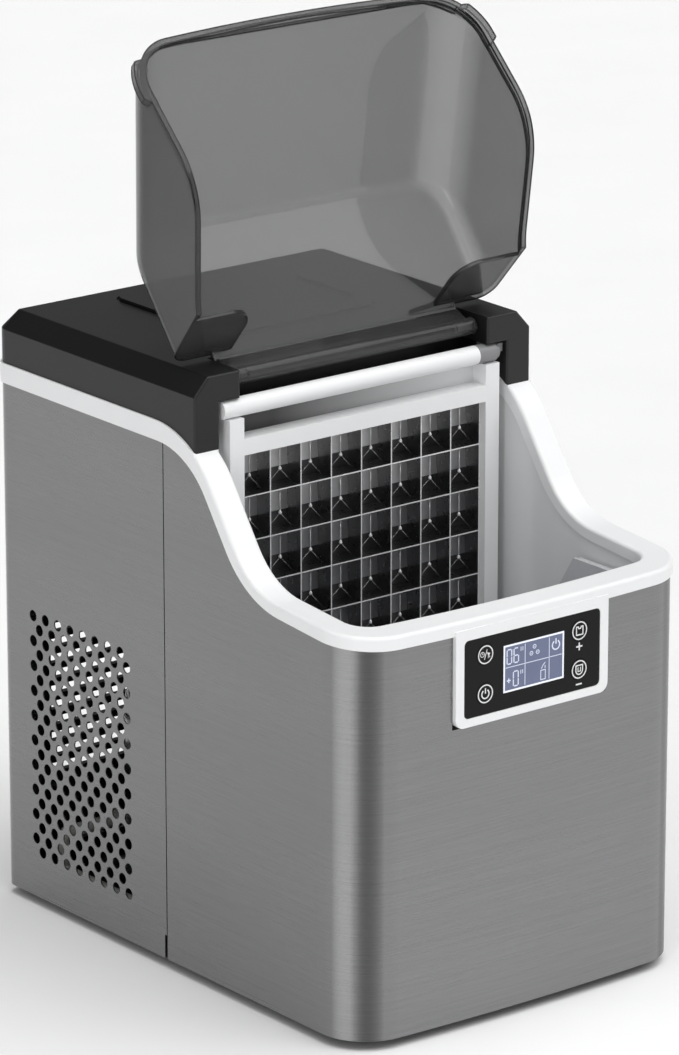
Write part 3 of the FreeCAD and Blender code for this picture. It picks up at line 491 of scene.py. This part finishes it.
# symbol and its scale for each button
glyphs = {
    "button_timer": (glyph_timer, 1.25),
    "button_power": (glyph_power, 1.35),
    "button_plus": (glyph_plus, 1.22),
    "button_minus": (glyph_minus, 1.25),
}
for node_name, (draw, size) in glyphs.items():
    x, z = button_centre(node_name)
    bm = bmesh.new()
    f = CAP_FRONT - PRINT_THICK
    draw(bm, x, z, f, CAP_FRONT)
    for v in bm.verts:
        v.co.x = x * MM + (v.co.x - x * MM) * size
        v.co.z = z * MM + (v.co.z - z * MM) * size
    ring(bm, x, z, RING_RADIUS, RING_WIDTH, f, CAP_FRONT)
    mesh_piece(node_name + "_print", bm, PRINT, node_name + "_body")

# plus and minus signs under the right-hand buttons, printed on the glass
bm = bmesh.new()
front = GLASS_FRONT - PRINT_THICK
SIGN_WIDTH = 0.95
px, pz = button_centre("button_plus")
mx, mz = button_centre("button_minus")
plus_z = pz - 9.6
minus_z = mz - 9.0
stroke(bm, [(px - 2.3, plus_z), (px + 2.3, plus_z)], SIGN_WIDTH, front, GLASS_FRONT)
stroke(bm, [(px, plus_z - 2.3), (px, plus_z - 0.5)], SIGN_WIDTH, front, GLASS_FRONT)
stroke(bm, [(px, plus_z + 0.5), (px, plus_z + 2.3)], SIGN_WIDTH, front, GLASS_FRONT)
stroke(bm, [(mx - 2.2, minus_z), (mx + 2.2, minus_z)], SIGN_WIDTH, front, GLASS_FRONT)
mesh_piece("panel_signs", bm, PRINT, "cabinet")

# display: pale border, cell lines, seven-segment digits and plain icons
# lit segments of the two digits used, lettered clockwise from the top with the middle bar last
SEGMENTS = {"0": "abcdef", "6": "acdefg"}
SEGMENT_WIDTH = 0.75
SEGMENT_GAP = 0.12


def digit(bm, text, x, z, w, h, f, b):
    """Seven-segment digit with its lower left corner at (x, z)."""
    t = SEGMENT_WIDTH
    g = SEGMENT_GAP
    places = {
        "a": [(x + g, z + h), (x + w - g, z + h)],
        "b": [(x + w, z + h / 2 + g), (x + w, z + h - g)],
        "c": [(x + w, z + g), (x + w, z + h / 2 - g)],
        "d": [(x + g, z), (x + w - g, z)],
        "e": [(x, z + g), (x, z + h / 2 - g)],
        "f": [(x, z + h / 2 + g), (x, z + h - g)],
        "g": [(x + g, z + h / 2), (x + w - g, z + h / 2)],
    }
    for key in SEGMENTS[text]:
        (start_x, start_z), (end_x, end_z) = places[key]
        if start_z == end_z:
            stroke(bm, [(start_x + t / 2, start_z), (end_x - t / 2, end_z)], t, f, b)
        else:
            stroke(bm, [(start_x, start_z + 0.1), (end_x, end_z - 0.1)], t, f, b)


x0, x1 = LCD_LOW.x, LCD_HIGH.x
z0, z1 = LCD_LOW.z, LCD_HIGH.z
lcd_y = LCD_LOW.y
f = lcd_y - 0.05
bm = bmesh.new()
BORDER_WIDTH = 1.1
m = BORDER_WIDTH / 2
border = [(x0 + m, z0 + m), (x1 - m, z0 + m), (x1 - m, z1 - m), (x0 + m, z1 - m)]
stroke(bm, border, BORDER_WIDTH, lcd_y - 0.08, lcd_y, closed=True)
mesh_piece("display_border", bm, LCD_EDGE, "cabinet")

bm = bmesh.new()
mid_z = (z0 + z1) / 2 + 0.6
col_a = x0 + 16.0
col_b = x0 + 34.0
CELL_LINE = 0.45
stroke(bm, [(x0 + 1.6, mid_z), (x1 - 1.6, mid_z)], CELL_LINE, f, lcd_y)
for col in (col_a, col_b):
    stroke(bm, [(col, z0 + 1.8), (col, mid_z - 0.4)], CELL_LINE, f, lcd_y)
    stroke(bm, [(col, mid_z + 0.4), (col, z1 - 1.8)], CELL_LINE, f, lcd_y)
# minutes set and minutes added
digit(bm, "0", x0 + 2.6, mid_z + 2.0, 3.4, 8.6, f, lcd_y)
digit(bm, "6", x0 + 7.7, mid_z + 2.0, 3.4, 8.6, f, lcd_y)
digit(bm, "0", x0 + 7.4, z0 + 2.8, 3.6, 8.8, f, lcd_y)
stroke(bm, [(x0 + 2.6, z0 + 6.8), (x0 + 5.4, z0 + 6.8)], 0.8, f, lcd_y)
stroke(bm, [(x0 + 4.0, z0 + 5.4), (x0 + 4.0, z0 + 6.3)], 0.8, f, lcd_y)
stroke(bm, [(x0 + 4.0, z0 + 7.3), (x0 + 4.0, z0 + 8.2)], 0.8, f, lcd_y)
# two plain bars beside each number
for mark_z in (mid_z + 9.4, z0 + 10.4):
    stroke(bm, [(x0 + 12.9, mark_z - 1.2), (x0 + 12.9, mark_z + 1.2)], 0.5, f, lcd_y)
    stroke(bm, [(x0 + 14.3, mark_z - 1.2), (x0 + 14.3, mark_z + 1.2)], 0.5, f, lcd_y)
# three drops in a triangle
for turn in (90, 210, 330):
    a = math.radians(turn)
    cx = (col_a + col_b) / 2 - 2.0 + 2.7 * math.cos(a)
    cz = mid_z + 6.3 + 2.5 * math.sin(a)
    ring(bm, cx, cz, 1.1, 0.45, f, lcd_y)
    stroke(bm, [(cx - 0.45, cz), (cx + 0.45, cz)], 0.4, f, lcd_y)
# power sign
pcx = (col_b + x1) / 2 - 0.5
pcz = mid_z + 6.4
stroke(bm, arc(pcx, pcz, 2.7, 120, 420, 28), 0.85, f, lcd_y)
stroke(bm, [(pcx, pcz + 0.6), (pcx, pcz + 4.0)], 0.85, f, lcd_y)
# water flask
bx = (col_a + col_b) / 2 + 4.5
bz = z0 + 2.4
flask = [(bx - 1.7, bz), (bx + 1.7, bz), (bx + 1.7, bz + 5.6), (bx - 1.7, bz + 5.6)]
stroke(bm, flask, 0.5, f, lcd_y, closed=True)
stroke(bm, [(bx - 1.3, bz + 6.6), (bx - 0.2, bz + 8.4), (bx + 1.6, bz + 10.0)], 0.5, f, lcd_y)
stroke(bm, [(bx + 1.5, bz + 6.5), (bx + 1.5, bz + 8.2)], 0.5, f, lcd_y)
mesh_piece("display_marks", bm, LCD_MARK, "cabinet")

# ---------------------------------------------------------------- lid edges: dark wires as painted shade
# wire radius, how deep its middle lies as a share of that, and the sharpest bend that counts as smooth
EDGE_WIRE = 0.5
EDGE_SUNK = 0.7
EDGE_ANGLE = math.radians(28)
# merging distance and shortest edge, in metres
EDGE_MERGE = 0.00002
EDGE_SHORTEST = 0.0002


def edge_lines(node_name, radius, angle):
    """Fine dark wires just under the sharp edges of a clear part, standing in as painted shade for the dark
    lines that refraction draws there.
    """
    shell = bmesh.new()
    shell.from_mesh(nodes[node_name].data)
    shell.transform(nodes[node_name].matrix_world)
    bmesh.ops.remove_doubles(shell, verts=shell.verts, dist=EDGE_MERGE)
    lines = bmesh.new()
    for edge in shell.edges:
        if len(edge.link_faces) != 2 or edge.calc_length() < EDGE_SHORTEST:
            continue
        if edge.calc_face_angle(0.0) < angle:
            continue
        outward = (edge.link_faces[0].normal + edge.link_faces[1].normal).normalized()
        sunk = outward * (radius * EDGE_SUNK)
        rod(lines, edge.verts[0].co / MM - sunk, edge.verts[1].co / MM - sunk, radius, 6)
    shell.free()
    return lines


mesh_piece("lid_painted_edge_shade", edge_lines("lid", EDGE_WIRE, EDGE_ANGLE), EDGE_PAINTED_SHADE, "lid_body")

# ---------------------------------------------------------------- ice cells
grid_low, grid_high = [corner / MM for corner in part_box("evaporator_grid")]
COLUMNS = 8
ROWS = 5
WALL = 0.45
# each cell's back is pressed into a ridge at this share of the cell's height
FOLD = 0.37
FACE_THICK = 0.2
cell_w = (grid_high.x - grid_low.x) / COLUMNS
cell_h = (grid_high.z - grid_low.z) / ROWS
plate_y = grid_high.y - 1.5
FLAT_Y = plate_y - 0.25
RIDGE_Y = plate_y - 1.5
# a rod hangs in the middle of each cell, with a drop at its end and two fine wires down to the corners
NEEDLE_Y = grid_low.y + 5.6
NEEDLE_R = 0.4
BULB_R = 1.15
WIRE_R = 0.09


def slab(bm, corners, thick):
    """Thin plate under four (x, y, z) corners in millimetres, with its back pushed along +y."""
    front = [bm.verts.new((x * MM, y * MM, z * MM)) for x, y, z in corners]
    rear = [bm.verts.new((x * MM, (y + thick) * MM, z * MM)) for x, y, z in corners]
    bm.faces.new(front)
    bm.faces.new(rear[::-1])
    for k in range(len(front)):
        n = (k + 1) % len(front)
        bm.faces.new((front[k], rear[k], rear[n], front[n]))


def bulb(bm, centre, radius):
    """Small pear-shaped drop, narrow at the top."""
    made = bmesh.ops.create_uvsphere(bm, u_segments=12, v_segments=8, radius=radius * MM)
    for v in made["verts"]:
        up_share = v.co.z / (radius * MM)
        v.co.z *= 1.5 if up_share > 0 else 0.95
        squeeze = 1.0 - 0.45 * max(0.0, up_share)
        v.co.x *= squeeze
        v.co.y *= squeeze
        v.co += Vector(centre) * MM


upper = bmesh.new()
lower = bmesh.new()
needles = bmesh.new()
for i in range(COLUMNS):
    for j in range(ROWS):
        left = grid_low.x + cell_w * i + WALL
        right = left + cell_w - 2 * WALL
        low = grid_low.z + cell_h * j + WALL
        high = low + cell_h - 2 * WALL
        middle = (left + right) / 2
        fold = low + FOLD * (high - low)
        ridge = [(left, RIDGE_Y, fold), (right, RIDGE_Y, fold)]
        slab(upper, ridge + [(right, FLAT_Y, high), (left, FLAT_Y, high)], FACE_THICK)
        slab(lower, [(left, FLAT_Y, low), (right, FLAT_Y, low)] + ridge[::-1], FACE_THICK)
        rod_end = fold + 1.2
        rod(needles, (middle, NEEDLE_Y, high), (middle, NEEDLE_Y, rod_end), NEEDLE_R)
        bulb(needles, (middle, NEEDLE_Y, rod_end - 0.6), BULB_R)
        for corner_x in (left + 0.6, right - 0.6):
            rod(needles, (middle, NEEDLE_Y, rod_end - 0.8), (corner_x, NEEDLE_Y + 2.0, low), WIRE_R, 6)
# upper faces take the lit tone and lower faces the shaded tone of the same plating: painted light and
# painted shade
mesh_piece("cell_faces_upper_painted_light", upper, CELL_UPPER_PAINTED_LIGHT, "cabinet")
mesh_piece("cell_faces_lower_painted_shade", lower, CELL_LOWER_PAINTED_SHADE, "cabinet")
for face in needles.faces:
    face.smooth = True
mesh_piece("cell_needles", needles, NEEDLE, "cabinet")

# ---------------------------------------------------------------- studio
world = bpy.data.worlds.new("studio")
bpy.context.scene.world = world
world.use_nodes = True
sky = world.node_tree
direction = sky.nodes.new("ShaderNodeTexCoord").outputs["Generated"]


def towards(vector, start, stop, low, high):
    """Brightness factor of the surroundings that goes smoothly from low to high towards a direction."""
    dot = sky.nodes.new("ShaderNodeVectorMath")
    dot.operation = "DOT_PRODUCT"
    dot.inputs[1].default_value = Vector(vector).normalized()
    sky.links.new(direction, dot.inputs[0])
    remap = sky.nodes.new("ShaderNodeMapRange")
    remap.interpolation_type = "SMOOTHSTEP"
    remap.inputs["From Min"].default_value = start
    remap.inputs["From Max"].default_value = stop
    remap.inputs["To Min"].default_value = low
    remap.inputs["To Max"].default_value = high
    sky.links.new(dot.outputs["Value"], remap.inputs["Value"])
    return remap.outputs["Result"]


side_glow = towards((0.62, -0.78, 0.0), -1.0, 1.0, 0.12, 0.85)
height_fade = towards((0.0, 0.0, 1.0), 0.02, 0.6, 1.0, 0.3)
dark_band = towards((0.05, -1.0, 0.0), 0.90, 0.985, 1.0, 0.08)
brightness = multiply(sky, multiply(sky, side_glow, height_fade), dark_band)
sky.links.new(brightness, sky.nodes["Background"].inputs["Strength"])
sky.nodes["Background"].inputs["Color"].default_value = (0.98, 0.99, 1.0, 1.0)

FLOOR_HALF = 12.0
FLOOR_DROP = 0.0002
floor_bm = bmesh.new()
bmesh.ops.create_grid(floor_bm, x_segments=8, y_segments=8, size=FLOOR_HALF)
floor_mesh = bpy.data.meshes.new("floor")
floor_bm.to_mesh(floor_mesh)
floor_bm.free()
floor = bpy.data.objects.new("floor", floor_mesh)
floor.location.z = -FLOOR_DROP
bpy.context.scene.collection.objects.link(floor)
PAPER = surface("floor_paper", (0.96, 0.96, 0.96), 0.8, grain=(40, 40, 40), tint=0.01, bump=0.02,
                specular=0.1)
floor_mesh.materials.append(PAPER)


def place_lamp(name, lamp, aim):
    """Puts a lamp in the scene, shining along a direction."""
    holder = bpy.data.objects.new(name, lamp)
    holder.rotation_mode = "QUATERNION"
    holder.rotation_quaternion = aim.to_track_quat("-Z", "Y")
    bpy.context.scene.collection.objects.link(holder)
    return holder


def softbox(name, place, target, width, height, power):
    """Rectangular area light that faces a point."""
    lamp = bpy.data.lights.new(name, "AREA")
    lamp.shape = "RECTANGLE"
    lamp.size = width
    lamp.size_y = height
    lamp.energy = power
    holder = place_lamp(name, lamp, Vector(target) - Vector(place))
    holder.location = place


def broad_light(name, place, strength, spread_deg):
    """Wide, far light that lights floor and object evenly with soft shadows."""
    lamp = bpy.data.lights.new(name, "SUN")
    lamp.energy = strength
    lamp.angle = math.radians(spread_deg)
    place_lamp(name, lamp, -Vector(place))


broad_light("top_light", (0.25, -0.35, 1.0), 2.02, 70)
broad_light("side_light", (-0.5, -0.1, 1.0), 0.80, 60)
softbox("corner_light", (-2.55, -1.6, 0.9), (0, 0, 0.2), 0.5, 1.8, 14)

# camera at the viewing angle of a three-quarter product shot from the object's front left
AZIMUTH = math.radians(38.22)
ELEVATION = math.radians(17.40)
DISTANCE = 3.566
LOOK_AT = Vector((0.0, 0.0, 0.200))
SLIDE_RIGHT = -0.0012
SLIDE_UP = 0.0495
FOCAL_LENGTH = 204.74
SENSOR_WIDTH = 36.0
back = Vector((-math.sin(AZIMUTH) * math.cos(ELEVATION), -math.cos(AZIMUTH) * math.cos(ELEVATION),
               math.sin(ELEVATION)))
right = Vector((math.cos(AZIMUTH), -math.sin(AZIMUTH), 0.0))
up = right.cross(-back)
camera_data = bpy.data.cameras.new("camera")
camera = bpy.data.objects.new("camera", camera_data)
camera.location = LOOK_AT + right * SLIDE_RIGHT + up * SLIDE_UP + back * DISTANCE
camera.rotation_mode = "QUATERNION"
camera.rotation_quaternion = (-back).to_track_quat("-Z", "Y")
camera_data.sensor_width = SENSOR_WIDTH
camera_data.lens = FOCAL_LENGTH
bpy.context.scene.collection.objects.link(camera)
bpy.context.scene.camera = camera
bpy.context.scene.view_settings.view_transform = "Standard"
